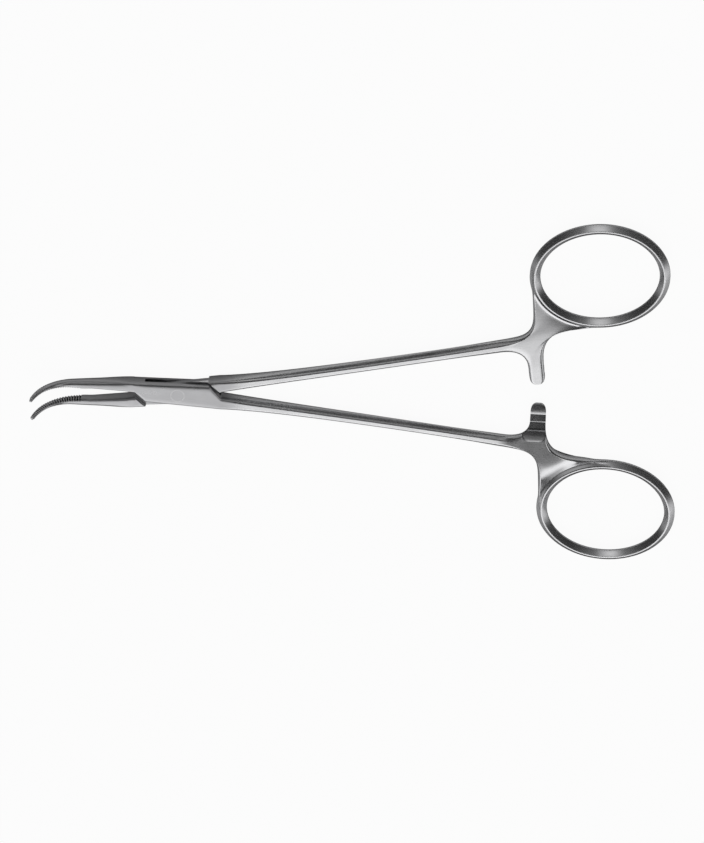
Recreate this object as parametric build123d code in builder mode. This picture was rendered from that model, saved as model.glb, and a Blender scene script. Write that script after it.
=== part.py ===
from build123d import *
import os
from math import cos, floor, pi

# Curved dissecting forceps: two forged steel halves that cross in a box lock, turn on one
# riveted pin, and end in finger rings with a ratchet between them.
#
# Frame: the pin's axis is Z and the box lies on Z = 0. +X runs towards the finger rings and
# the tips curve up, towards +Z. Lengths are in millimetres and angles in degrees.
#
# The two halves' outlines are mirror images when closed. Both are drawn closed, about the
# plane Z = 0, with the shank and ring on +Y and the jaw on -Y. The box half is then mirrored
# and both are laid open.

# How the instrument lies
rest_opening = 7.0  # between the halves, measured from jaws closed

# Clearances
face_gap = 0.10  # between the closed jaw faces
shoulder_gap = 0.10  # along X, between a shoulder and the cheeks' slanted edge, closed
tongue_gap = 0.05  # on each face of the tongue
bore_gap = 0.05  # round the pin, in the tongue
ratchet_gap = 0.10  # in height, between the tooth crests of the two arms

# Box lock: a six-sided field where the cheeks of one half and the tongue of the other cross
box_thickness = 3.4
tongue_thickness = 1.1
lock_point_x = 9.4  # from the pin to the field's two points
lock_corner_x = 7.0  # and to its corners
lock_half_width = 2.8
cheek_open_edge = 2.2  # half width of the cheeks where the other half's jaw comes out
root_margin = 0.2  # full section beyond the field's points
tongue_relief_x = 1.2  # where the tongue starts to narrow, to clear the slot's end

# Pin, riveted into flared holes and ground flush
pin_radius = 1.25
pin_flare = 0.25
pin_flare_height = 0.4

# Jaws
jaw_root_depth = 2.5
jaw_tip_depth = 0.7
jaw_tip_width = 0.75
jaw_root_flat = 2.4  # height of the jaw's flat side
jaw_tip_flat = 0.12
jaw_width_fall = 1.1  # how late the width falls off from root to tip: 1 is evenly, more is later
jaw_depth_fall = 1.1
jaw_flat_fall = 0.6
jaw_bend_x = 23.1  # from the pin to the start of the curve
jaw_bend_radius = 8.0
jaw_bend_angle = 60.0
tip_bend_radius = 13.0
tip_bend_angle = 16.0
tip_straight = 0.4
jaw_sections = 9
serrated_length = 14.8
serration_pitch = 0.57
serration_width = 0.34
serration_depth = 0.18
face_relief = 0.20  # how far the smooth part of each face stands back
relief_slope = 1.5  # length of the slope at each end of that part

# Shanks
shank_end_gap = 2.85  # along X, from the shank's end to the ring's outer edge
shank_root_y = 1.58
shank_end_y = 8.25
shank_bow = 1.17  # 1 is a straight shank, more bows it inwards
shank_root_width = 2.9
shank_waist_width = 2.65
shank_root_corner = 0.3
shank_end_corner = 0.85
shank_sections = 7

# Finger rings: oval, with a crowned section
ring_x = 94.0
ring_y = 24.0
ring_half_length = 14.0  # to the middle of the section
ring_half_width = 11.65
ring_lean = 1.5
ring_band = 2.3
ring_thickness = 2.6
ring_edge = 0.5  # height of the narrow flat on the section's inner and outer edge
ring_crown = 0.3  # width of the narrow flat on its crown

# Webs and ratchet arms
web_thickness = 2.4
web_overlap = 6.0  # how far the web runs into the shank
web_inset = 0.15  # how far its edge lies inside the shank's edge there
web_corner_y = 10.6  # where the web's edge would meet the arm's edge, unrounded
web_outer_radius = 4.0
web_inner_radius = 4.5
arm_width = 3.4
arm_offset = 0.45  # along X, from the middle of the arm to the ring's outer edge
arm_reach = 1.8  # past the middle line, closed
arm_end_radius = 1.7
arm_root_radius = 3.8
tooth_count = 3
tooth_pitch = 1.95
tooth_height = 0.42
tooth_land = 0.15  # flat on each crest
first_tooth_y = 0.55
scoop_length = 2.65  # hollow run-out from the last tooth to the web's face
scoop_radius = 4.2
scoop_margin = 1.0  # how far the run-out goes past each side of the arm

# Worked out from the values above
root_x = lock_point_x + root_margin
ring_outer_length = ring_half_length + ring_band / 2
ring_outer_width = ring_half_width + ring_band / 2
ring_left = ring_x - ring_outer_length
shank_end_x = ring_left - shank_end_gap
arm_x = ring_left - arm_offset
ring_plane = Plane(Location((ring_x, ring_y, 0), (0, 0, ring_lean)))
ratchet_cut = arm_width / 2 + scoop_margin

# Centre line of the jaw, from the lock to the tip
with BuildLine(Plane.XZ) as jaw_line:
    straight = Line((-root_x, 0), (-jaw_bend_x, 0))
    bend = JernArc(straight @ 1, straight % 1, jaw_bend_radius, -jaw_bend_angle)
    tip_bend = JernArc(bend @ 1, bend % 1, tip_bend_radius, -tip_bend_angle)
    Line(tip_bend @ 1, tip_bend @ 1 + (tip_bend % 1) * tip_straight)

jaw_path = jaw_line.wire()
into_jaw = Vector(0, -1, 0)


def jaw_plane(distance, across=False):
    """Plane on the jaw's face at a distance from its root, its x pointing into the jaw.

    The plane's z runs along the jaw, or across the face.
    """
    origin = jaw_path.position_at(distance, position_mode=PositionMode.LENGTH)
    along = jaw_path.tangent_at(distance, position_mode=PositionMode.LENGTH)
    z_dir = along.cross(into_jaw) if across else along
    return Plane(origin=origin + into_jaw * (face_gap / 2), x_dir=into_jaw, z_dir=z_dir)


def jaw_section(distance):
    """Section of the jaw: a flat face, flat sides and a rounded back."""
    share = distance / jaw_path.length
    root_depth = jaw_root_depth - face_gap / 2
    width = box_thickness + (jaw_tip_width - box_thickness) * share**jaw_width_fall
    depth = jaw_tip_depth + (root_depth - jaw_tip_depth) * (1 + cos(pi * share**jaw_depth_fall)) / 2
    flat = jaw_root_flat + (jaw_tip_flat - jaw_root_flat) * share**jaw_flat_fall
    with BuildSketch(jaw_plane(distance)) as section:
        with BuildLine():
            Polyline((flat, -width / 2), (0, -width / 2), (0, width / 2), (flat, width / 2))
            EllipticalCenterArc((flat, 0), depth - flat, width / 2, -90, arc_size=180)
        make_face()
    return section.sketch


def shank_station(share):
    """Centre x and y, width and thickness of the shank at a share of its length."""
    x = root_x + share * (shank_end_x - root_x)
    y = shank_root_y + (shank_end_y - shank_root_y) * share**shank_bow
    width = shank_waist_width + (shank_root_width - shank_waist_width) * (2 * share - 1) ** 2
    thickness = web_thickness + (box_thickness - web_thickness) * (1 - share) ** 2
    return x, y, width, thickness


def shank_section(share):
    """Section of the shank: a rectangle whose corners round off away from the lock."""
    x, y, width, thickness = shank_station(share)
    corner = shank_end_corner + (shank_root_corner - shank_end_corner) * (1 - share) ** 4
    with BuildSketch(Plane(origin=(x, y, 0), x_dir=(0, 1, 0), z_dir=(1, 0, 0))) as section:
        RectangleRounded(width, thickness, corner)
    return section.sketch


def lock_field(height, gap):
    """The lock's six-sided field at a height, carried on past the outline's long edges."""
    slope = (lock_point_x - lock_corner_x) / lock_half_width
    reach = 2 * lock_half_width
    point = lock_point_x + gap
    corner = point - reach * slope
    with BuildSketch(Plane.XY.offset(height)) as field:
        with BuildLine():
            Polyline(
                (point, 0),
                (corner, reach),
                (-corner, reach),
                (-point, 0),
                (-corner, -reach),
                (corner, -reach),
                close=True,
            )
        make_face()
    return field.sketch


def ring_ovals(side):
    """Ovals up a bevelled edge: the ring's outer edge for side 1, its hole's for side -1."""
    crown = (ring_thickness / 2, side * ring_crown / 2)
    edge = (ring_edge / 2, side * ring_band / 2)
    ovals = []
    for height, growth in [(-crown[0], crown[1]), (-edge[0], edge[1]), edge, crown]:
        with BuildSketch(ring_plane.offset(height)) as oval:
            Ellipse(ring_half_length + growth, ring_half_width + growth)
        ovals.append(oval.sketch)
    return ovals


def ratchet_profile(side):
    """What is cut from the arm, seen along X, to leave half its thickness and its teeth.

    The arm stays above the middle plane for side 1 and below it for side -1.
    """
    crest = ratchet_gap / 2
    valley = crest + tooth_height
    tip = -arm_reach
    last_y = first_tooth_y + (tooth_count - 1) * tooth_pitch
    scoop_end = last_y + scoop_length
    profile = [(scoop_end, -web_thickness / 2), (scoop_end, -web_thickness)]
    profile += [(2 * tip, -web_thickness), (2 * tip, valley), (tip, valley)]
    for n in range(tooth_count):
        y = first_tooth_y + n * tooth_pitch
        profile += [(y - tooth_land, crest), (y, crest), (y, valley)]
    with BuildSketch(Plane.YZ.offset(arm_x)) as section:
        with BuildLine():
            outline = Polyline([(y, side * z) for y, z in profile])
            RadiusArc(outline @ 1, outline @ 0, side * scoop_radius)
        make_face()
    return section.sketch


# What the two halves share: lock plate, jaw, shank, web, ratchet arm and ring
with BuildPart() as blank:
    # Lock plate
    _, root_y, root_width, _ = shank_station(0)
    with BuildSketch():
        with BuildLine():
            Polyline(
                (-root_x, -face_gap / 2),
                (-root_x, -jaw_root_depth),
                (lock_corner_x, -lock_half_width),
                (lock_point_x, face_gap / 2),
                (root_x, root_y - root_width / 2),
                (root_x, root_y + root_width / 2),
                (-lock_corner_x, cheek_open_edge),
                (-lock_point_x, -face_gap / 2),
                close=True,
            )
        make_face()
    extrude(amount=box_thickness / 2, both=True)

    # Jaw, with its tip rounded across the face
    loft([jaw_section(jaw_path.length * n / (jaw_sections - 1)) for n in range(jaw_sections)])
    tip_radius = jaw_tip_width / 2
    with BuildSketch(Plane(origin=jaw_path @ 1, x_dir=jaw_path % 1, z_dir=(0, 1, 0))):
        Rectangle(2 * tip_radius, 4 * tip_radius)
        with Locations((-tip_radius, 0)):
            Circle(tip_radius, mode=Mode.SUBTRACT)
    extrude(amount=jaw_root_depth, both=True, mode=Mode.SUBTRACT)

    # Smooth part of the face, standing back between the lock and the serrations
    smooth_end_x = root_x + jaw_path.length - serrated_length
    face_y = -face_gap / 2
    with BuildSketch():
        with BuildLine():
            Polyline(
                (-root_x, face_y),
                (-root_x - relief_slope, face_y - face_relief),
                (-smooth_end_x + relief_slope, face_y - face_relief),
                (-smooth_end_x, face_y),
                (-smooth_end_x, jaw_root_depth),
                (-root_x, jaw_root_depth),
                close=True,
            )
        make_face()
    extrude(amount=box_thickness, both=True, mode=Mode.SUBTRACT)

    # Serrations across the face
    for n in range(floor(serrated_length / serration_pitch)):
        groove = jaw_plane(jaw_path.length - (n + 0.5) * serration_pitch, across=True)
        with BuildSketch(groove):
            with BuildLine():
                Polyline(
                    (serration_depth, 0),
                    (-serration_depth, serration_width),
                    (-serration_depth, -serration_width),
                    close=True,
                )
            make_face()
        extrude(amount=box_thickness / 2, both=True, mode=Mode.SUBTRACT)

    # Shank
    loft([shank_section(n / (shank_sections - 1)) for n in range(shank_sections)])

    # Web and ratchet arm in one plan; the web runs on inside the ring, to be cut with its hole
    shank_length = shank_end_x - root_x
    end_x, end_y, _, _ = shank_station(1)
    run_x, run_y, run_width, _ = shank_station(1 - web_overlap / shank_length)
    run_slope = (end_y - run_y) / (end_x - run_x)
    run_half = run_width / 2 - web_inset
    arm_left = arm_x - arm_width / 2
    arm_right = arm_x + arm_width / 2
    with BuildSketch():
        with BuildLine():
            FilletPolyline(
                (run_x, run_y + run_half),
                (ring_left, run_y + run_half + run_slope * (ring_left - run_x)),
                (ring_left, ring_y),
                (ring_x, ring_y),
                (ring_x, ring_y - ring_outer_width),
                (arm_right, web_corner_y),
                (arm_right, -arm_reach),
                (arm_left, -arm_reach),
                (arm_left, run_y - run_half + run_slope * (arm_left - run_x)),
                (run_x, run_y - run_half),
                radius=[
                    0,
                    web_outer_radius,
                    0,
                    0,
                    0,
                    web_inner_radius,
                    arm_end_radius,
                    arm_end_radius,
                    arm_root_radius,
                    0,
                ],
                close=True,
            )
        make_face()
    extrude(amount=web_thickness / 2, both=True)

    # Finger ring
    loft(ring_ovals(1), ruled=True)
    loft(ring_ovals(-1), ruled=True, mode=Mode.SUBTRACT)

# Pin
with BuildPart() as closed_pin:
    head_z = box_thickness / 2
    neck_z = head_z - pin_flare_height
    with BuildSketch(Plane.XZ):
        with BuildLine():
            Polyline(
                (0, -head_z),
                (pin_radius + pin_flare, -head_z),
                (pin_radius, -neck_z),
                (pin_radius, neck_z),
                (pin_radius + pin_flare, head_z),
                (0, head_z),
                close=True,
            )
        make_face()
    revolve(axis=Axis.Z)

# Box half: two cheeks round a slot, closed at both ends, with the pin's flared hole
with BuildPart() as drawn_box:
    add(blank.part)
    extrude(ratchet_profile(-1), amount=ratchet_cut, both=True, mode=Mode.SUBTRACT)
    slot_height = tongue_thickness + 2 * tongue_gap
    extrude(lock_field(-slot_height / 2, 0), amount=slot_height, mode=Mode.SUBTRACT)
    add(closed_pin.part, mode=Mode.SUBTRACT)

# Inner half: thinned to a tongue between its shoulders, and bored for the pin
with BuildPart() as drawn_inner:
    add(blank.part)
    extrude(ratchet_profile(1), amount=ratchet_cut, both=True, mode=Mode.SUBTRACT)
    for side in (1, -1):
        field = lock_field(side * tongue_thickness / 2, shoulder_gap)
        extrude(field, amount=side * box_thickness, mode=Mode.SUBTRACT)
        with BuildSketch():
            with BuildLine():
                Polyline(
                    (side * tongue_relief_x, -side * lock_half_width),
                    (side * lock_point_x, side * face_gap / 2),
                    (side * lock_point_x, -side * 2 * lock_half_width),
                    (side * tongue_relief_x, -side * 2 * lock_half_width),
                    close=True,
                )
            make_face()
        extrude(amount=box_thickness, both=True, mode=Mode.SUBTRACT)
    Hole(pin_radius + bore_gap)


def rest_frame(turn):
    """Where a drawn half goes: turned about the pin, with the box's face on Z = 0."""
    return Plane(Location((0, 0, box_thickness / 2), (0, 0, turn)))


with BuildPart(rest_frame(-rest_opening / 2)) as box_half:
    add(drawn_box.part.mirror(Plane.XZ))
with BuildPart(rest_frame(rest_opening / 2)) as inner_half:
    add(drawn_inner.part)
with BuildPart(rest_frame(0)) as pivot_pin:
    add(closed_pin.part)

box_half.part.label = "box_half"
inner_half.part.label = "inner_half"
pivot_pin.part.label = "pivot_pin"

os.makedirs("parts", exist_ok=True)
export_step(box_half.part, "parts/box_half.step")
export_step(inner_half.part, "parts/inner_half.step")
export_step(pivot_pin.part, "parts/pivot_pin.step")
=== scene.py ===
from math import atan2, cos, pi, radians, sin

import bmesh
import bpy
import numpy as np
from mathutils import Matrix, Vector


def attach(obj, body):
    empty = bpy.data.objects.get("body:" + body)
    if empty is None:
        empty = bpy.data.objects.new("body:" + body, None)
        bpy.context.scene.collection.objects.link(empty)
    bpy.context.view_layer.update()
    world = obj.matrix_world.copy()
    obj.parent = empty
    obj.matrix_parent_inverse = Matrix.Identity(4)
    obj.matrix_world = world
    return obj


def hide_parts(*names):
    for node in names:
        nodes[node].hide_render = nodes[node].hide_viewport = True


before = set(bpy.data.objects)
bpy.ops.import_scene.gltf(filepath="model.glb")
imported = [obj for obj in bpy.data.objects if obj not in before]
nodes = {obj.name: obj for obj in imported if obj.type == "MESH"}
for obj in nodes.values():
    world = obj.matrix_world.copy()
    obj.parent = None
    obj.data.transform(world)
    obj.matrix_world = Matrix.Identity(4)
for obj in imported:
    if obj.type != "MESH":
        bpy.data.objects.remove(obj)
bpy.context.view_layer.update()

# Inner half: the male forging, in one piece from jaw to ring. Its jaw, shank, ring and arm are
# drop-forged stainless steel, ground and satin polished; a thin tongue is milled between its
# shoulders and passes through the other half's slot. Drawn closed, in mm, about the pin's axis.

MM = 0.001
rest_opening = 7.0  # degrees between the halves as they lie
mid_height = 1.7  # of the plane that halves the lock, above the table

# Lock plate
lock_half_thickness = 1.7
lock_half_width = 2.8
lock_point_x = 9.4
lock_corner_x = 7.0
lock_edge = 0.28  # rounding left on its long edges
root_x = 9.6  # where jaw and shank leave it
lock_outline_x = [-root_x, -lock_point_x, -lock_corner_x, lock_corner_x, lock_point_x, root_x]
lock_outline_upper = [-0.05, -0.05, 2.2, 2.91, 3.02, 3.03]
lock_outline_lower = [-2.5, -2.504, -2.543, -2.8, 0.05, 0.13]
lock_stations = [-root_x, -8.2, -4.0, -1.0, 2.0, 5.0, 8.2]
lock_support = 0.15  # from a corner of the outline to the stations that keep it crisp

# Jaw: straight, then bent up in two curves
jaw_straight = 13.5
jaw_bend_radius = 8.0
jaw_bend = radians(60)
tip_bend_radius = 13.0
tip_bend = radians(16)
tip_straight = 0.4
jaw_length = jaw_straight + jaw_bend_radius * jaw_bend + tip_bend_radius * tip_bend + tip_straight
face_inset = 0.05  # of its face from the plane between the halves
jaw_root_depth = 2.5
jaw_tip_depth = 0.7
jaw_tip_width = 0.75
jaw_root_flat = 2.4  # how far its flat sides reach back from the face
jaw_tip_flat = 0.12
least_flat = 0.06
jaw_width_fall = 1.1  # how late the size falls off from root to tip: 1 is evenly, more is later
jaw_depth_fall = 1.1
jaw_flat_fall = 0.6
jaw_edge = 0.2
squared_share = 0.3  # of its length, over which its section goes from square to round
tip_stations = [(0.0, 0.4), (0.1, 0.7), (0.3, 0.93)]  # way back from the tip, share of full size

# Jaw's face: cross serrations towards the tip, and a smooth part that stands back
serrated_length = 14.8
serration_pitch = 0.57
serration_half_width = 0.17
serration_depth = 0.26
face_relief = 0.2
relief_slope = 1.5
relief_stations = [8.2, 6.6, 5.0, 3.4]
serration_land = 0.1  # full height left on the face by the serrations, and by the lock
root_land = 0.12

# Shank: a bowed bar with well rounded edges
shank_end_x = 76.0
web_start_x = 72.0
shank_root_y = 1.58
shank_end_y = 8.25
shank_bow = 1.17
shank_root_width = 2.9
shank_waist_width = 2.65
shank_root_edge = 0.3  # rounding at the lock, and away from it on the broad and narrow faces
shank_edge = 0.72
shank_drop = 1.15
root_edge_fall = 9  # how soon the edges take their full rounding behind the lock
drop_end_x = 60.0  # where the narrow faces begin to widen again towards the web
shank_stations = [9.75, 10.4, 11.4, 13.0, 16.0, 20.0, 25.0, 31.0, 38.0, 45.0, 52.0, 58.0, 63.0, 67.0, 70.0]
shank_stations.append(web_start_x)

# Finger ring: oval, its section a ridge with a narrow crown
ring_centre = Vector((94.0, 24.0, 0.0))
ring_half_length = 14.0
ring_half_width = 11.65
ring_lean = radians(1.5)
ring_steps = 64
web_first, web_last = 34, 46  # the ring's steps between which the web runs into it
ring_half_thickness = 1.3
ring_half_band = 1.15
ring_edge = 0.25
ring_crown = 0.15
slope_growth = 0.65  # a place half way down the ridge, out from its crown and above the middle
slope_height = 0.8
valley_growth = 0.95  # the same place where the web runs in, at the foot of the ridge
valley_height = 0.76
valley_fade = 3  # steps
crown_crease = 0.75  # how crisp the ring's edges stay: 0 is round, 1 is sharp
side_crease = 0.6
valley_crease = 0.5

# Ratchet arm, from the web to its rounded tip
arm_x = 78.4
arm_half_width = 1.7
arm_cut_y = 2.6
arm_tip_y = -1.8
arm_edge = 0.42
arm_stations = [
    (arm_cut_y, 1.0),
    (1.4, 1.0),
    (0.2, 1.0),
    (-0.7, 0.97),
    (-1.3, 0.86),
    (-1.65, 0.66),
    (arm_tip_y, 0.4),
]

# Web: its two free outlines, from the shank to the ring and from the arm to the ring, and the
# fillet between shank and arm
web_half_thickness = 1.2
web_edge = 0.5
web_left = [(74.4, 9.45), (76.5, 10.0), (78.15, 11.5), (78.85, 14.0), (79.0, 17.4)]
web_right = [(80.15, 5.6), (81.2, 8.9), (84.0, 10.75), (87.0, 11.0), (89.3, 11.15)]
arm_fillet = [(73.9, 6.35), (75.55, 5.55), (76.5, 4.1)]
web_tilt_y = 10.5  # where a tilted web's face keeps its height, and where the tilt ends
web_tilt_end_y = 14.5


def smooth_step(value):
    value = min(1.0, max(0.0, value))
    return value * value * (3 - 2 * value)


def faded(first, last, share):
    return first + (last - first) * share


def jaw_station(distance):
    """Point on the middle of the jaw's face and the turn of the jaw there."""
    x, z, turn = -root_x, 0.0, 0.0
    for length, radius in (
        (jaw_straight, None),
        (jaw_bend_radius * jaw_bend, jaw_bend_radius),
        (tip_bend_radius * tip_bend, tip_bend_radius),
        (tip_straight, None),
    ):
        run = min(distance, length)
        if radius is None:
            x -= run * cos(turn)
            z += run * sin(turn)
        else:
            swept = turn + run / radius
            x -= radius * (sin(swept) - sin(turn))
            z -= radius * (cos(swept) - cos(turn))
            turn = swept
        distance -= run
        if distance <= 0:
            break
    return x, z, turn


def jaw_loop(distance, sunk, pinch):
    """Sixteen points round the jaw: face edge to back on the upper side, back, lower side, face.

    The face stands back by what is sunk, and pinch is the share of its size that the jaw keeps.
    """
    share = distance / jaw_length
    root_depth = jaw_root_depth - face_inset
    half = pinch * faded(lock_half_thickness, jaw_tip_width / 2, share**jaw_width_fall)
    depth = faded(jaw_tip_depth, root_depth, (1 + cos(pi * share**jaw_depth_fall)) / 2)
    depth *= (1 + pinch) / 2
    flat = faded(jaw_root_flat, jaw_tip_flat, share**jaw_flat_fall)
    edge = min(jaw_edge, half / 3)
    bulge = depth - flat
    near = sunk + edge
    flat = max(flat, near + least_flat)
    round_side = [(near, half), ((near + flat) / 2, half)]
    for step in range(9):
        angle = pi * step / 8
        round_side.append((flat + bulge * sin(angle), half * cos(angle)))
    round_side += [((near + flat) / 2, -half), (near, -half)]
    depths = [near + (root_depth - edge - near) * n / 4 for n in range(5)]
    square_side = [(d, half) for d in depths]
    square_side += [(root_depth, w) for w in (half - edge, 0.0, edge - half)]
    square_side += [(d, -half) for d in reversed(depths)]
    blend = smooth_step(share / squared_share)
    section = []
    for (round_d, round_w), (square_d, square_w) in zip(round_side, square_side):
        d = round_d * blend + square_d * (1 - blend)
        w = round_w * blend + square_w * (1 - blend)
        section.append((d, w))
    section += [(sunk, -(half - edge)), (sunk, 0.0), (sunk, half - edge)]
    x, z, turn = jaw_station(distance)
    return [(x + w * sin(turn), -face_inset - d, z + w * cos(turn)) for d, w in section]


def jaw_stations():
    """Distance from the root, how far the face is sunk and the pinch, from the tip to the root."""
    stations = [(jaw_length - back, 0.0, pinch) for back, pinch in tip_stations]
    for n in range(1, int(serrated_length / serration_pitch)):
        middle = jaw_length - (n + 0.5) * serration_pitch
        stations.append((middle + serration_half_width, 0.0, 1.0))
        stations.append((middle, serration_depth, 1.0))
        stations.append((middle - serration_half_width, 0.0, 1.0))
    smooth_end = jaw_length - serrated_length
    stations += [(smooth_end - serration_land, 0.0, 1.0), (smooth_end - relief_slope, face_relief, 1.0)]
    stations += [(distance, face_relief, 1.0) for distance in relief_stations]
    stations += [(relief_slope, face_relief, 1.0), (root_land, 0.0, 1.0)]
    return stations


def bar_section(first, last, half_thickness, edge, drop):
    """Sixteen places round a bar, across and up: over the top, down, back and up again.

    Its edges round off from edge inwards on the broad faces to drop down on the narrow ones.
    """
    inwards = edge if last > first else -edge
    across = [first + inwards + (last - first - 2 * inwards) * n / 4 for n in range(5)]
    rise = half_thickness - drop
    section = [(place, half_thickness) for place in across]
    section += [(last, z) for z in (rise, 0.0, -rise)]
    section += [(place, -half_thickness) for place in reversed(across)]
    section += [(first, z) for z in (-rise, 0.0, rise)]
    return section


def shank_loop(x):
    share = (x - root_x) / (shank_end_x - root_x)
    middle = faded(shank_root_y, shank_end_y, share**shank_bow)
    width = faded(shank_waist_width, shank_root_width, (2 * share - 1) ** 2)
    half_thickness = faded(web_half_thickness, lock_half_thickness, (1 - share) ** 2)
    at_root = (1 - share) ** root_edge_fall
    edge = faded(shank_edge, shank_root_edge, at_root)
    drop = faded(shank_drop, shank_root_edge, at_root)
    drop -= (shank_drop - shank_edge) * smooth_step((x - drop_end_x) / (web_start_x - drop_end_x))
    section = bar_section(middle + width / 2, middle - width / 2, half_thickness, edge, drop)
    return [(x, y, z) for y, z in section]


def inset(outline, before, after, edge, side):
    """Points of an outline moved inwards by the edge's width."""
    chain = [before] + outline + [after]
    moved = []
    for n in range(1, len(chain) - 1):
        along = Vector(chain[n + 1]) - Vector(chain[n - 1])
        across = Vector((along.y, -along.x)).normalized() * side
        moved.append(Vector(chain[n]) + across * edge)
    return moved


class Cage:
    """A control mesh of points, quads and the edges that stay crisp."""

    def __init__(self):
        self.points = []
        self.quads = []
        self.crisp = {}

    def add(self, row):
        first = len(self.points)
        self.points += [tuple(p) for p in row]
        return list(range(first, first + len(row)))

    def point(self, index):
        return Vector(self.points[index])

    def skin(self, row_a, row_b, closed=False):
        count = len(row_a) if closed else len(row_a) - 1
        for n in range(count):
            m = (n + 1) % len(row_a)
            self.quads.append((row_a[n], row_a[m], row_b[m], row_b[n]))

    def skin_all(self, rows, closed=False):
        for row_a, row_b in zip(rows, rows[1:]):
            self.skin(row_a, row_b, closed)

    def crease(self, row, weight):
        for a, b in zip(row, row[1:]):
            self.crisp[(min(a, b), max(a, b))] = weight

    def cap(self, loop):
        """Closes a loop of sixteen points with four by four quads."""
        at = [self.point(index) for index in loop]
        grid = [loop[0:5]]
        for row in (1, 2, 3):
            left, right = loop[16 - row], loop[4 + row]
            inner = []
            for column in (1, 2, 3):
                across = at[16 - row].lerp(at[4 + row], column / 4)
                along = at[column].lerp(at[12 - column], row / 4)
                inner.append((across + along) / 2)
            grid.append([left] + self.add(inner) + [right])
        grid.append(loop[12:7:-1])
        self.skin_all(grid)


def forge_bar(cage):
    """Jaw, lock plate and shank under one skin; gives back the loop where the web begins."""
    loops = []
    for distance, sunk, pinch in jaw_stations():
        loop = cage.add(jaw_loop(distance, sunk, pinch))
        loops.append(loop)
        if jaw_length - serrated_length < distance < jaw_length - serration_pitch:
            cage.crease(loop[12:] + loop[:1], 1.0)
    places = set(lock_stations)
    for corner_x in (-lock_point_x, -lock_corner_x, lock_corner_x, lock_point_x):
        places |= {corner_x - lock_support, corner_x, corner_x + lock_support}
    for x in sorted(places):
        upper = float(np.interp(x, lock_outline_x, lock_outline_upper))
        lower = float(np.interp(x, lock_outline_x, lock_outline_lower))
        section = bar_section(upper, lower, lock_half_thickness, lock_edge, lock_edge)
        loops.append(cage.add([(x, y, z) for y, z in section]))
    for x in shank_stations:
        loops.append(cage.add(shank_loop(x)))
    cage.skin_all(loops, closed=True)
    cage.cap(loops[0])
    return loops[-1]


def forge_ring(cage):
    """Finger ring: thirteen rows round it, less the outer three where the web runs in."""
    lean = Matrix.Rotation(ring_lean, 3, "Z")
    rings = []
    for step in range(ring_steps):
        angle = 2 * pi * step / ring_steps
        past_web = max(web_first - step, step - web_last, 0)
        hold = smooth_step(1 - past_web / valley_fade)
        outer_growth = faded(slope_growth, valley_growth, hold)
        outer_height = faded(slope_height, valley_height, hold)
        section = [
            (outer_growth, outer_height),
            (ring_crown, ring_half_thickness),
            (-ring_crown, ring_half_thickness),
            (-slope_growth, slope_height),
            (-ring_half_band, ring_edge),
            (-ring_half_band, -ring_edge),
            (-slope_growth, -slope_height),
            (-ring_crown, -ring_half_thickness),
            (ring_crown, -ring_half_thickness),
            (outer_growth, -outer_height),
        ]
        if not web_first < step < web_last:
            section += [(ring_half_band, z) for z in (-ring_edge, 0.0, ring_edge)]
        row = []
        for growth, height in section:
            x = (ring_half_length + growth) * cos(angle)
            y = (ring_half_width + growth) * sin(angle)
            row.append(ring_centre + lean @ Vector((x, y, 0)) + Vector((0, 0, height)))
        rings.append(cage.add(row))
    for step in range(ring_steps):
        row_a, row_b = rings[step], rings[(step + 1) % ring_steps]
        cage.skin(row_b[:10], row_a[:10])
        if not web_first <= step < web_last:
            cage.skin(row_b[9:] + row_b[:1], row_a[9:] + row_a[:1])
    for place in (1, 2, 7, 8):
        cage.crease([row[place] for row in rings] + [rings[0][place]], crown_crease)
    for place in (4, 5):
        cage.crease([row[place] for row in rings] + [rings[0][place]], side_crease)
    outer = rings[web_last:] + rings[:web_first + 1]
    for place in (10, 12):
        cage.crease([row[place] for row in outer], side_crease)
    for place in (0, 9):
        cage.crease([row[place] for row in rings[web_first:web_last + 1]], valley_crease)
    return rings


def forge_arm(cage):
    """Ratchet arm, not yet cut; gives back the loop at its root."""
    loops = []
    for y, share in arm_stations:
        half = arm_half_width * share
        edge = arm_edge * share
        section = bar_section(arm_x - half, arm_x + half, web_half_thickness, edge, edge)
        loops.append(cage.add([(x, y, z) for x, z in section]))
    for loop_a, loop_b in zip(loops, loops[1:]):
        cage.skin(loop_b, loop_a, closed=True)
    cage.cap(loops[-1])
    return loops[0]


def web_rim(cage, outline, before, after, side, heights):
    """Points down the web's edge at each place of an outline, from its upper to its lower face.

    Before and after are the points of the cage that the outline runs on from and to.
    """
    moved = inset(outline, cage.point(before).xy, cage.point(after).xy, web_edge, side)
    chains = []
    for (x, y), (mx, my), height in zip(outline, moved, heights):
        drop = height - web_edge
        edge = [(mx, my, height), (x, y, drop), (x, y, 0), (x, y, -drop), (mx, my, -height)]
        chains.append(cage.add(edge))
    return chains


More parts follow.
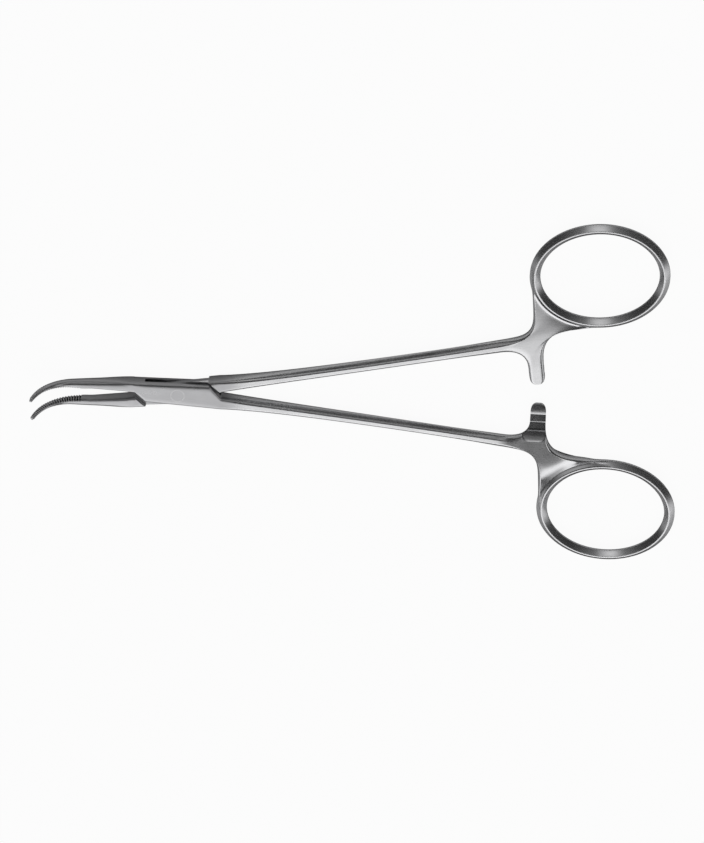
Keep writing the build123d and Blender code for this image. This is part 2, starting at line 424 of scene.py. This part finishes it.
def forge_web(cage, shank, rings, arm, web_tilt, dish_power):
    """Web between shank, ring and arm.

    Its faces fall to the ring's foot, the later the more power the dish has, and its upper face
    may be tilted.
    """
    dish = web_half_thickness - valley_height
    spans = len(web_left) + 1
    heights = [web_half_thickness - dish * (n / spans) ** dish_power for n in range(1, spans)]
    level = [web_half_thickness] * len(arm_fillet)
    left_rim = web_rim(cage, web_left, shank[14], rings[web_first][11], 1, heights)
    right_rim = web_rim(cage, web_right, arm[6], rings[web_last][11], -1, heights)
    fillet_rim = web_rim(cage, arm_fillet, shank[6], arm[14], -1, level)

    # Chains down the free edges, each running on from a loop's side and ending on another's
    loop_side = (0, 15, 14, 13, 12)
    ring_side = (0, 12, 11, 10, 9)
    left_chains = [[shank[n] for n in loop_side]] + left_rim + [[rings[web_first][n] for n in ring_side]]
    right_chains = [arm[4:9]] + right_rim + [[rings[web_last][n] for n in ring_side]]
    fillet_chains = [shank[4:9]] + fillet_rim + [[arm[n] for n in loop_side]]
    for chain_a, chain_b in zip(left_chains, left_chains[1:]):
        cage.skin(chain_b, chain_a)
    cage.skin_all(right_chains)
    cage.skin_all(fillet_chains)

    # Faces: rows blended between the four sides, of which one runs round the shank's end, the
    # fillet and the arm's root
    for top in (True, False):
        end = 0 if top else 4
        ring_row = [rings[step][0 if top else 9] for step in range(web_first, web_last + 1)]
        shank_row = shank[0:5] if top else shank[12:7:-1]
        arm_row = arm[0:5] if top else arm[12:7:-1]
        root_row = shank_row + [chain[end] for chain in fillet_rim] + arm_row
        left_side = [chain[end] for chain in left_chains]
        right_side = [chain[end] for chain in right_chains]
        root = [cage.point(index) for index in root_row]
        ring = [cage.point(index) for index in ring_row]
        rows = [root_row]
        for n in range(1, spans):
            v = n / spans
            inner = []
            for m in range(1, len(root) - 1):
                u = m / (len(root) - 1)
                ruled = root[m].lerp(ring[m], v)
                sides = cage.point(left_side[n]).lerp(cage.point(right_side[n]), u)
                corners = root[0].lerp(root[-1], u).lerp(ring[0].lerp(ring[-1], u), v)
                inner.append(ruled + sides - corners)
            rows.append([left_side[n]] + cage.add(inner) + [right_side[n]])
        cage.skin_all(rows + [ring_row])
        if top:
            for index in {index for row in rows for index in row}:
                x, y, z = cage.points[index]
                cage.points[index] = (x, y, z + web_tilt * (min(y, web_tilt_end_y) - web_tilt_y))


def steel_mesh(name, points, faces):
    """Mesh of a closed shell, its faces turned outwards."""
    mesh = bpy.data.meshes.new(name)
    mesh.from_pydata(points, [], faces)
    shell = bmesh.new()
    shell.from_mesh(mesh)
    bmesh.ops.recalc_face_normals(shell, faces=shell.faces)
    shell.to_mesh(mesh)
    shell.free()
    return mesh


def linked(name, mesh):
    piece = bpy.data.objects.new(name, mesh)
    bpy.context.scene.collection.objects.link(piece)
    return piece


def settled(piece):
    """Replaces a piece's mesh by what its modifiers make of it."""
    bpy.context.view_layer.update()
    shape = piece.evaluated_get(bpy.context.evaluated_depsgraph_get())
    mesh = bpy.data.meshes.new_from_object(shape)
    piece.modifiers.clear()
    piece.data = mesh


def forging(name, mirrored, web_tilt, dish_power):
    """One half as forged and ground, drawn closed in mm; the box half is the mirror image."""
    cage = Cage()
    shank = forge_bar(cage)
    rings = forge_ring(cage)
    arm = forge_arm(cage)
    forge_web(cage, shank, rings, arm, web_tilt, dish_power)
    side = -1 if mirrored else 1
    points = [(x, side * y, z) for x, y, z in cage.points]
    mesh = steel_mesh(name, points, cage.quads)
    crease = mesh.attributes.new("crease_edge", "FLOAT", "EDGE")
    for edge in mesh.edges:
        crease.data[edge.index].value = cage.crisp.get(tuple(sorted(edge.vertices)), 0.0)
    piece = linked(name, mesh)
    rounding = piece.modifiers.new("rounding", "SUBSURF")
    rounding.levels = rounding.render_levels = 2
    settled(piece)
    return piece


def prism(outline, levels):
    """A closed cutter: an outline in XY, at each level grown by a factor and set at a height."""
    points = [(x * grow, y * grow, z) for z, grow in levels for x, y in outline]
    count = len(outline)
    faces = [tuple(range(count)), tuple(range(len(points) - count, len(points)))]
    for base in range(0, len(points) - count, count):
        for n in range(count):
            m = (n + 1) % count
            faces.append((base + n, base + m, base + count + m, base + count + n))
    return points, faces


def mill(piece, points, faces):
    """Takes a closed cutter's space out of the piece."""
    cutter = linked("cutter", steel_mesh("cutter", points, faces))
    cut = piece.modifiers.new("cut", "BOOLEAN")
    cut.operation = "DIFFERENCE"
    cut.solver = "EXACT"
    cut.object = cutter
    settled(piece)
    mesh = cutter.data
    bpy.data.objects.remove(cutter)
    bpy.data.meshes.remove(mesh)


def lock_field(gap):
    """The lock's six-sided field, carried on past the long edges."""
    slope = (lock_point_x - lock_corner_x) / lock_half_width
    reach = 2 * lock_half_width
    point = lock_point_x + gap
    corner = point - reach * slope
    return [(point, 0), (corner, reach), (-corner, reach), (-point, 0), (-corner, -reach), (corner, -reach)]


# Ratchet: teeth across the arm, and a hollow run-out behind them that the cutter leaves
cutter_reach = 2.4  # of each cutter from the middle plane, well clear of the steel
tooth_pitch = 1.95
tooth_height = 0.42
tooth_count = 3
tooth_land = 0.15
first_tooth_y = 0.55
ratchet_crest = 0.05
teeth_half_width = 2.6
lead_steps = 8  # of the hollow lead-in from the arm's tip
scoop_length = 2.65
scoop_radius = 4.2
scoop_left = 3.3  # how far the scoop reaches from the middle of the arm, on either side
scoop_right = 1.9
scoop_corner = 1.5
scoop_steps = 16


def mill_ratchet(piece, side, up, web_tilt):
    """Mills half the arm's thickness away and leaves the teeth; up is the side that stays."""
    valley = ratchet_crest + tooth_height
    last_y = first_tooth_y + (tooth_count - 1) * tooth_pitch
    profile = [(last_y, -cutter_reach), (2 * arm_tip_y, -cutter_reach), (2 * arm_tip_y, valley)]
    lead = first_tooth_y - tooth_land - arm_tip_y
    for step in range(lead_steps):
        share = step / lead_steps
        profile.append((arm_tip_y + share * lead, ratchet_crest + tooth_height * (1 - share) ** 2))
    for n in range(tooth_count):
        y = first_tooth_y + n * tooth_pitch
        profile += [(y - tooth_land, ratchet_crest), (y, ratchet_crest), (y, valley)]
    profile.pop()  # the last tooth's back is the scoop's
    points = []
    for x in (arm_x - teeth_half_width, arm_x + teeth_half_width):
        points += [(x, side * y, up * z) for y, z in profile]
    count = len(profile)
    faces = [tuple(range(count)), tuple(range(count, 2 * count))]
    faces += [(n, (n + 1) % count, count + (n + 1) % count, count + n) for n in range(count)]
    mill(piece, points, faces)

    # Scoop: rows along an arc from the last tooth's foot to the web's face, with the far corners
    # of its plan rounded
    foot = Vector((last_y, valley))
    rim_y = last_y + scoop_length
    rim = Vector((rim_y, web_tilt * (web_tilt_y - rim_y) - web_half_thickness))
    chord = rim - foot
    away = Vector((chord.y, -chord.x)).normalized()
    centre = (foot + rim) / 2 + away * (scoop_radius**2 - (chord.length / 2) ** 2) ** 0.5
    first = atan2(foot.x - centre.x, foot.y - centre.y)
    last = atan2(rim.x - centre.x, rim.y - centre.y)
    rows = [(last_y, valley, -scoop_left, scoop_right)]
    for step in range(1, scoop_steps + 2):
        angle = first + (last - first) * step / scoop_steps
        y = centre.x + scoop_radius * sin(angle)
        z = centre.y + scoop_radius * cos(angle)
        past = max(0.0, y - (rim_y - scoop_corner)) / scoop_corner
        pull = scoop_corner * (1 - (1 - min(past, 1.0) ** 2) ** 0.5)
        rows.append((y, z, -scoop_left + pull, scoop_right - pull))
    points = []
    for y, z, left, right in rows:
        for x, level in ((left, z), (right, z), (right, -cutter_reach), (left, -cutter_reach)):
            points.append((arm_x + x, side * y, up * level))
    faces = [(0, 1, 2, 3), tuple(range(len(points) - 4, len(points)))]
    for base in range(0, len(points) - 4, 4):
        faces += [(base + n, base + (n + 1) % 4, base + 4 + (n + 1) % 4, base + 4 + n) for n in range(4)]
    mill(piece, points, faces)


sharp_from = radians(32)  # between two faces


def laid(piece, turn):
    """Turns a drawn half about the pin, stands it on the table and takes it to metres."""
    move = Matrix.Scale(MM, 4) @ Matrix.Translation((0, 0, mid_height)) @ Matrix.Rotation(turn, 4, "Z")
    piece.data.transform(move)
    for face in piece.data.polygons:
        face.use_smooth = True
    piece.data.set_sharp_from_angle(angle=sharp_from)


# Tongue and shoulders, milled from both sides, and the bore for the pin
tongue_half_thickness = 0.55
shoulder_gap = 0.1
shoulder_bevel = 0.05
tongue_relief_x = 1.2
bore_radius = 1.3
bore_steps = 48
bevel_bottom = lock_half_thickness - shoulder_bevel
bevel_growth = 1 + 2 * shoulder_bevel / lock_point_x
through = [(-cutter_reach, 1.0), (cutter_reach, 1.0)]

inner_half = forging("inner_half_steel", mirrored=False, web_tilt=0.0, dish_power=2)
for side in (1, -1):
    shoulder_levels = [
        (side * tongue_half_thickness, 1.0),
        (side * bevel_bottom, 1.0),
        (side * (bevel_bottom + 2 * shoulder_bevel), bevel_growth),
    ]
    mill(inner_half, *prism(lock_field(shoulder_gap), shoulder_levels))
    tongue_relief = [
        (side * tongue_relief_x, -side * lock_half_width),
        (side * lock_point_x, side * face_inset),
        (side * lock_point_x, -side * 2 * lock_half_width),
        (side * tongue_relief_x, -side * 2 * lock_half_width),
    ]
    mill(inner_half, *prism(tongue_relief, through))
circle = [(cos(2 * pi * n / bore_steps), sin(2 * pi * n / bore_steps)) for n in range(bore_steps)]
mill(inner_half, *prism(circle, [(-cutter_reach, bore_radius), (cutter_reach, bore_radius)]))
mill_ratchet(inner_half, side=1, up=1, web_tilt=0.0)
laid(inner_half, radians(rest_opening / 2))

NUMBER = "NodeSocketFloat"
TRIPLE = "NodeSocketVector"


def effect(name, inputs, outputs):
    """A shader node group with named sockets, and its entry and exit nodes."""
    group = bpy.data.node_groups.new(name, "ShaderNodeTree")
    for label, kind in inputs:
        group.interface.new_socket(label, in_out="INPUT", socket_type=kind)
    for label, kind in outputs:
        group.interface.new_socket(label, in_out="OUTPUT", socket_type=kind)
    return group, group.nodes.new("NodeGroupInput"), group.nodes.new("NodeGroupOutput")


def new_node(tree, kind, values=None, **settings):
    """A new node, with fixed values for some of its sockets and with some of its settings made."""
    node = tree.nodes.new(kind)
    for setting, choice in settings.items():
        setattr(node, setting, choice)
    for socket, value in (values or {}).items():
        node.inputs[socket].default_value = value
    return node


# Grain: what is left by the abrasive belt, long fine lines along the instrument
line_stretch = 22
lines_per_metre = 5200
bands_per_metre = 1100
grain, entry, leave = effect("belt_grain", [("Turn", TRIPLE)], [("Lines", NUMBER), ("Bands", NUMBER)])
where = new_node(grain, "ShaderNodeTexCoord")
aligned = new_node(grain, "ShaderNodeMapping", {"Scale": (line_stretch, 1, 1)}, vector_type="TEXTURE")
lines = new_node(grain, "ShaderNodeTexNoise", {"Scale": lines_per_metre, "Detail": 2})
bands = new_node(grain, "ShaderNodeTexNoise", {"Scale": bands_per_metre, "Detail": 1})
grain.links.new(where.outputs["Object"], aligned.inputs["Vector"])
grain.links.new(entry.outputs["Turn"], aligned.inputs["Rotation"])
grain.links.new(aligned.outputs[0], lines.inputs["Vector"])
grain.links.new(aligned.outputs[0], bands.inputs["Vector"])
grain.links.new(lines.outputs["Fac"], leave.inputs["Lines"])
grain.links.new(bands.outputs["Fac"], leave.inputs["Bands"])

# Handling: clouds where the polish has dulled, and stray hairline scratches two ways
hairline_slants = (radians(35), radians(-62))
hairline_stretch = 30
hairlines_per_metre = 3800
hairline_distortion = 0.4
handling, entry, leave = effect(
    "handling", [("Clouds Per Metre", NUMBER)], [("Clouds", NUMBER), ("Hairlines", NUMBER)]
)
where = new_node(handling, "ShaderNodeTexCoord")
clouds = new_node(handling, "ShaderNodeTexNoise", {"Detail": 3})
handling.links.new(where.outputs["Object"], clouds.inputs["Vector"])
handling.links.new(entry.outputs["Clouds Per Metre"], clouds.inputs["Scale"])
handling.links.new(clouds.outputs["Fac"], leave.inputs["Clouds"])
either = new_node(handling, "ShaderNodeMath", operation="MAXIMUM")
for place, slant in enumerate(hairline_slants):
    slanted = new_node(
        handling,
        "ShaderNodeMapping",
        {"Rotation": (0, 0, slant), "Scale": (hairline_stretch, 1, 1)},
        vector_type="TEXTURE",
    )
    strands = new_node(
        handling,
        "ShaderNodeTexNoise",
        {"Scale": hairlines_per_metre, "Detail": 0, "Distortion": hairline_distortion},
    )
    few = new_node(handling, "ShaderNodeMapRange", {"From Min": 0.76, "From Max": 0.9})
    handling.links.new(where.outputs["Object"], slanted.inputs["Vector"])
    handling.links.new(slanted.outputs[0], strands.inputs["Vector"])
    handling.links.new(strands.outputs["Fac"], few.inputs["Value"])
    handling.links.new(few.outputs["Result"], either.inputs[place])
handling.links.new(either.outputs[0], leave.inputs["Hairlines"])

# Edges and grooves: edges lighter, partly rubbed bright by use and partly a painted highlight, and grooves
# and places near other surfaces darkened by ambient occlusion, a painted shade
form, entry, leave = effect(
    "edges_and_grooves",
    [("Edge Width", NUMBER), ("Groove Reach", NUMBER)],
    [("Edges", NUMBER), ("Grooves", NUMBER)],
)
surface = new_node(form, "ShaderNodeNewGeometry")
rounded = new_node(form, "ShaderNodeBevel", samples=4)
parallel = new_node(form, "ShaderNodeVectorMath", operation="DOT_PRODUCT")
lightened_edges = new_node(form, "ShaderNodeMapRange", {"From Min": 0.9, "From Max": 0.72})
# Ambient occlusion: darkens grooves and places near other surfaces, a painted shade
shade = new_node(form, "ShaderNodeAmbientOcclusion", samples=8)
groove_shade = new_node(form, "ShaderNodeMapRange", {"From Min": 0.8, "From Max": 0.4})
form.links.new(entry.outputs["Edge Width"], rounded.inputs["Radius"])
form.links.new(rounded.outputs["Normal"], parallel.inputs[0])
form.links.new(surface.outputs["Normal"], parallel.inputs[1])
form.links.new(parallel.outputs["Value"], lightened_edges.inputs["Value"])
form.links.new(lightened_edges.outputs["Result"], leave.inputs["Edges"])
form.links.new(entry.outputs["Groove Reach"], shade.inputs["Distance"])
form.links.new(shade.outputs["AO"], groove_shade.inputs["Value"])
form.links.new(groove_shade.outputs["Result"], leave.inputs["Grooves"])

bare_steel = (0.6, 0.6, 0.61)
# Darker colour of jaws and lock: painted shade
jaw_shade_tone = (0.44, 0.44, 0.45)
# Lighter edges: wear, and a painted highlight
edge_wear_and_highlight_tone = (0.62, 0.62, 0.62)
# Darker grooves and places near other surfaces: painted shade
groove_shade_tone = (0.15, 0.15, 0.15)
specular_tone = (0.1, 0.1, 0.1)
polish = 0.2  # roughness of the plain satin
band_contrast = 0.04
clouds_per_metre = 140
edge_width = 0.2 * MM
groove_reach = 0.4 * MM
scratch_height = 0.005 * MM
satin_and_shade_start = 9 * MM
satin_and_shade_end = 16 * MM


def satin_steel(name, turn):
    """Satin polished stainless steel; turn is the way that its grain runs."""
    material = bpy.data.materials.new(name)
    material.use_nodes = True
    tree = material.node_tree
    shader = tree.nodes["Principled BSDF"]
    shader.inputs["Metallic"].default_value = 1.0
    shader.inputs["Specular Tint"].default_value = (*specular_tone, 1)

    def toned(factor, tone, before):
        """Mixes a tone over a colour by a mask."""
        mix = new_node(tree, "ShaderNodeMix", data_type="RGBA")
        mix.inputs["B"].default_value = (*tone, 1)
        tree.links.new(factor, mix.inputs["Factor"])
        tree.links.new(before, mix.inputs["A"])
        return mix.outputs["Result"]

    def scaled(value, low, high):
        """Spreads a noise, most of which is from 0.3 to 0.7, over the range from low to high."""
        spread = new_node(
            tree, "ShaderNodeMapRange", {"From Min": 0.3, "From Max": 0.7, "To Min": low, "To Max": high}
        )
        tree.links.new(value, spread.inputs["Value"])
        return spread.outputs["Result"]

    def summed(first, second, factor):
        """Adds the second value times a factor to the first."""
        total = new_node(tree, "ShaderNodeMath", {1: factor}, operation="MULTIPLY_ADD")
        tree.links.new(second, total.inputs[0])
        tree.links.new(first, total.inputs[2])
        return total.outputs[0]

    belt = new_node(tree, "ShaderNodeGroup", node_tree=grain)
    belt.inputs["Turn"].default_value = (0, 0, turn)
    use = new_node(tree, "ShaderNodeGroup", node_tree=handling)
    use.inputs["Clouds Per Metre"].default_value = clouds_per_metre
    rims = new_node(tree, "ShaderNodeGroup", node_tree=form)
    rims.inputs["Edge Width"].default_value = edge_width
    rims.inputs["Groove Reach"].default_value = groove_reach

    # Jaws and lock are satin finished by hand after the parts are joined, the rest on the belt; there the
    # steel is rougher, and its colour is also darker, a painted shade
    where = new_node(tree, "ShaderNodeTexCoord")
    along = new_node(tree, "ShaderNodeSeparateXYZ")
    towards_jaws = new_node(
        tree,
        "ShaderNodeMapRange",
        {"From Min": satin_and_shade_end, "From Max": satin_and_shade_start},
        interpolation_type="SMOOTHSTEP",
    )
    tree.links.new(where.outputs["Object"], along.inputs[0])
    tree.links.new(along.outputs["X"], towards_jaws.inputs["Value"])
    satin_and_shade = towards_jaws.outputs["Result"]

    steel = new_node(tree, "ShaderNodeMix", data_type="RGBA")
    steel.inputs["A"].default_value = (*[(1 - band_contrast) * part for part in bare_steel], 1)
    steel.inputs["B"].default_value = (*[(1 + band_contrast) * part for part in bare_steel], 1)
    tree.links.new(belt.outputs["Bands"], steel.inputs["Factor"])
    # Jaws and lock darker in colour: painted shade
    colour = toned(satin_and_shade, jaw_shade_tone, steel.outputs["Result"])
    # Edges lighter: wear, and a painted highlight
    colour = toned(rims.outputs["Edges"], edge_wear_and_highlight_tone, colour)
    # Grooves and places near the table and the other half darker by ambient occlusion: painted shade
    colour = toned(rims.outputs["Grooves"], groove_shade_tone, colour)
    tree.links.new(colour, shader.inputs["Base Color"])

    # What clouds, hand finish, grain, scratches and rubbed edges each add to the roughness
    dull = scaled(use.outputs["Clouds"], polish - 0.03, polish + 0.05)
    dull = summed(dull, satin_and_shade, 0.07)
    dull = summed(dull, belt.outputs["Lines"], 0.05)
    dull = summed(dull, use.outputs["Hairlines"], 0.04)
    dull = summed(dull, rims.outputs["Edges"], -0.06)
    tree.links.new(dull, shader.inputs["Roughness"])

    height = summed(belt.outputs["Lines"], use.outputs["Hairlines"], -0.15)
    bump = new_node(tree, "ShaderNodeBump", {"Strength": 0.5, "Distance": scratch_height})
    tree.links.new(height, bump.inputs["Height"])
    tree.links.new(bump.outputs[0], shader.inputs["Normal"])
    return material


inner_half.data.materials.append(satin_steel("inner_half_satin", radians(rest_opening / 2)))
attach(inner_half, "inner_side")
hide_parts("inner_half")

# Box half: the female forging, of the same steel, with its cheeks round a slot that is closed at
# both ends. The halves are put together hot, with the slot spread, and then pressed to size. The
# pin's hole is flared in both cheeks.
slot_half_height = 0.6
pin_radius = 1.25
pin_flare = 0.25
pin_flare_height = 0.4
flare_foot = lock_half_thickness - pin_flare_height
box_web_tilt = 0.1  # its web's upper face leans towards the ratchet

box_half = forging("box_half_steel", mirrored=True, web_tilt=box_web_tilt, dish_power=14)
mill(box_half, *prism(lock_field(0.0), [(-slot_half_height, 1.0), (slot_half_height, 1.0)]))
hole_levels = [
    (-flare_foot - 2 * pin_flare_height, pin_radius + 2 * pin_flare),
    (-flare_foot, pin_radius),
    (flare_foot, pin_radius),
    (flare_foot + 2 * pin_flare_height, pin_radius + 2 * pin_flare),
]
mill(box_half, *prism(circle, hole_levels))
mill_ratchet(box_half, side=-1, up=-1, web_tilt=box_web_tilt)
laid(box_half, radians(-rest_opening / 2))
box_half.data.materials.append(satin_steel("box_half_satin", radians(-rest_opening / 2)))
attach(box_half, "box_side")
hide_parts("box_half")

# Pivot pin: a stainless rivet through cheeks and tongue, on which the halves turn. Its ends are
# spread into the flares of the cheeks and ground flush with them.
pin_turn = radians(20)
pin = nodes["pivot_pin"]
pin.data.materials.clear()
pin.data.materials.append(satin_steel("pin_satin", pin_turn))

# Table: plain white and matt, with the soft shadow kept. The camera sees it nearly as bright as
# paper, and gloss sees it a little brighter than plain light alone makes it.
table_half_side = 9  # metres
table_tone = (0.42, 0.42, 0.42)
white_to_camera = 0.95
white_to_gloss = 0.1
table_corners = [
    (x * table_half_side, y * table_half_side, 0) for x, y in ((-1, -1), (1, -1), (1, 1), (-1, 1))
]
table = linked("table", bpy.data.meshes.new("table"))
table.data.from_pydata(table_corners, [], [(0, 1, 2, 3)])
table_material = bpy.data.materials.new("white_table")
table_material.use_nodes = True
tree = table_material.node_tree
tree.nodes.clear()
output = new_node(tree, "ShaderNodeOutputMaterial")
lit = new_node(tree, "ShaderNodeBsdfDiffuse", {"Color": (*table_tone, 1)})
glow = new_node(tree, "ShaderNodeEmission", {"Color": (1, 1, 1, 1)})
path = new_node(tree, "ShaderNodeLightPath")
seen = new_node(tree, "ShaderNodeMath", {1: white_to_camera}, operation="MULTIPLY")
reflected = new_node(tree, "ShaderNodeMath", operation="MAXIMUM")
whiteness = new_node(tree, "ShaderNodeMath", {1: white_to_gloss}, operation="MULTIPLY_ADD")
mix = new_node(tree, "ShaderNodeMixShader")
tree.links.new(path.outputs["Is Camera Ray"], seen.inputs[0])
tree.links.new(path.outputs["Is Glossy Ray"], reflected.inputs[0])
tree.links.new(path.outputs["Is Transmission Ray"], reflected.inputs[1])
tree.links.new(reflected.outputs[0], whiteness.inputs[0])
tree.links.new(seen.outputs[0], whiteness.inputs[2])
tree.links.new(whiteness.outputs[0], mix.inputs[0])
tree.links.new(lit.outputs[0], mix.inputs[1])
tree.links.new(glow.outputs[0], mix.inputs[2])
tree.links.new(mix.outputs[0], output.inputs[0])
table.data.materials.append(table_material)

# Studio: a dim room with soft white boxes for the steel to mirror, and plain light from above that
# is stronger from the near side. The camera sees white where it looks past the table.
room_level = 0.05
# Azimuth, elevation, half width and half height in degrees, softness of the edge and brightness
boxes = [
    (-104, 42, 24, 21, 0.18, 1.4),
    (95, 29, 9, 7, 0.7, 1.1),
    (95, 40, 27, 18, 0.5, 0.12),
    (0, 60, 18, 11, 0.5, 0.9),
    (-35, 10, 20, 16, 0.5, 0.9),
    (-155, 20, 18, 14, 0.6, 0.6),
    (45, 52, 15, 11, 0.6, 0.4),
    (140, 50, 15, 11, 0.6, 0.4),
]
plain_from = (-0.1, -0.77, 0.63)
plain_start = 0.05  # of the way up towards it, below which there is none
plain_level = 2.4

patch, entry, leave = effect(
    "soft_patch", [("Turn", TRIPLE), ("Half Size", TRIPLE), ("Softness", NUMBER)], [("Mask", NUMBER)]
)
where = new_node(patch, "ShaderNodeTexCoord")
turned = new_node(patch, "ShaderNodeMapping", vector_type="TEXTURE")
sized = new_node(patch, "ShaderNodeVectorMath", operation="DIVIDE")
unsigned = new_node(patch, "ShaderNodeVectorMath", operation="ABSOLUTE")
sides = new_node(patch, "ShaderNodeSeparateXYZ")
span = new_node(patch, "ShaderNodeMath", operation="MAXIMUM")
near = new_node(patch, "ShaderNodeMath", {0: 1.0}, operation="SUBTRACT")
far = new_node(patch, "ShaderNodeMath", {1: 1.0}, operation="ADD")
fade = new_node(patch, "ShaderNodeMapRange", {"To Min": 1.0, "To Max": 0.0}, interpolation_type="SMOOTHSTEP")
parts = new_node(patch, "ShaderNodeSeparateXYZ")
front = new_node(patch, "ShaderNodeMath", {1: 0.0}, operation="GREATER_THAN")
mask = new_node(patch, "ShaderNodeMath", operation="MULTIPLY")
patch.links.new(where.outputs["Generated"], turned.inputs["Vector"])
patch.links.new(entry.outputs["Turn"], turned.inputs["Rotation"])
patch.links.new(turned.outputs[0], sized.inputs[0])
patch.links.new(entry.outputs["Half Size"], sized.inputs[1])
patch.links.new(sized.outputs[0], unsigned.inputs[0])
patch.links.new(unsigned.outputs[0], sides.inputs[0])
patch.links.new(sides.outputs["Y"], span.inputs[0])
patch.links.new(sides.outputs["Z"], span.inputs[1])
patch.links.new(entry.outputs["Softness"], near.inputs[1])
patch.links.new(entry.outputs["Softness"], far.inputs[0])
patch.links.new(span.outputs[0], fade.inputs["Value"])
patch.links.new(near.outputs[0], fade.inputs["From Min"])
patch.links.new(far.outputs[0], fade.inputs["From Max"])
patch.links.new(turned.outputs[0], parts.inputs[0])
patch.links.new(parts.outputs["X"], front.inputs[0])
patch.links.new(fade.outputs["Result"], mask.inputs[0])
patch.links.new(front.outputs[0], mask.inputs[1])
patch.links.new(mask.outputs[0], leave.inputs["Mask"])

world = bpy.data.worlds.new("studio")
world.cycles.sampling_method = "NONE"  # each kind of ray has its own light, which sampling would mix
bpy.context.scene.world = world
world.use_nodes = True
tree = world.node_tree
tree.nodes.clear()
level = None
for azimuth, elevation, half_width, half_height, softness, strength in boxes:
    box = new_node(tree, "ShaderNodeGroup", node_tree=patch)
    box.inputs["Turn"].default_value = (0, radians(-elevation), radians(azimuth))
    box.inputs["Half Size"].default_value = (1, sin(radians(half_width)), sin(radians(half_height)))
    box.inputs["Softness"].default_value = softness
    brighter = new_node(tree, "ShaderNodeMath", {1: strength, 2: room_level}, operation="MULTIPLY_ADD")
    tree.links.new(box.outputs["Mask"], brighter.inputs[0])
    if level is not None:
        tree.links.new(level, brighter.inputs[2])
    level = brighter.outputs[0]
room = new_node(tree, "ShaderNodeBackground")
tree.links.new(level, room.inputs["Color"])

# Plain light for matt surfaces
where = new_node(tree, "ShaderNodeTexCoord")
towards = new_node(tree, "ShaderNodeVectorMath", {1: plain_from}, operation="DOT_PRODUCT")
even = new_node(
    tree, "ShaderNodeMapRange", {"From Min": plain_start, "To Min": 0.0, "To Max": plain_level}
)
plain = new_node(tree, "ShaderNodeBackground")
tree.links.new(where.outputs["Generated"], towards.inputs[0])
tree.links.new(towards.outputs["Value"], even.inputs["Value"])
tree.links.new(even.outputs["Result"], plain.inputs["Color"])

# Which kind of ray meets which light
white = new_node(tree, "ShaderNodeBackground", {"Color": (1, 1, 1, 1)})
path = new_node(tree, "ShaderNodeLightPath")
matt = new_node(tree, "ShaderNodeMixShader")
past_table = new_node(tree, "ShaderNodeMixShader")
output = new_node(tree, "ShaderNodeOutputWorld")
tree.links.new(path.outputs["Is Diffuse Ray"], matt.inputs[0])
tree.links.new(room.outputs[0], matt.inputs[1])
tree.links.new(plain.outputs[0], matt.inputs[2])
tree.links.new(path.outputs["Is Camera Ray"], past_table.inputs[0])
tree.links.new(matt.outputs[0], past_table.inputs[1])
tree.links.new(white.outputs[0], past_table.inputs[2])
tree.links.new(past_table.outputs[0], output.inputs[0])

# Camera: the catalogue's view, from well above on the far side, with the rings to the right.
view_azimuth = radians(171.6)
view_elevation = radians(57.8)
view_roll = radians(187.4)
view_distance = 1.65  # metres
view_height = 0.1834  # what the picture spans from bottom to top at that distance
view_target = Vector((0.03763, -0.00736, mid_height * MM))
sensor_height = 36
near_limit = 0.01

back = Vector((
    sin(view_azimuth) * cos(view_elevation),
    -cos(view_azimuth) * cos(view_elevation),
    sin(view_elevation),
))
right = Vector((cos(view_azimuth), sin(view_azimuth), 0))
upright = Matrix((right, back.cross(right), back)).transposed()
lens = bpy.data.cameras.new("catalogue_view")
lens.sensor_fit = "VERTICAL"
lens.sensor_height = sensor_height
lens.lens = sensor_height * view_distance / view_height
lens.clip_start = near_limit
camera = linked("catalogue_view", lens)
camera.matrix_world = Matrix.Translation(view_target + back * view_distance) @ (
    upright @ Matrix.Rotation(view_roll, 3, "Z")
).to_4x4()
bpy.context.scene.camera = camera
bpy.context.scene.view_settings.view_transform = "Standard"
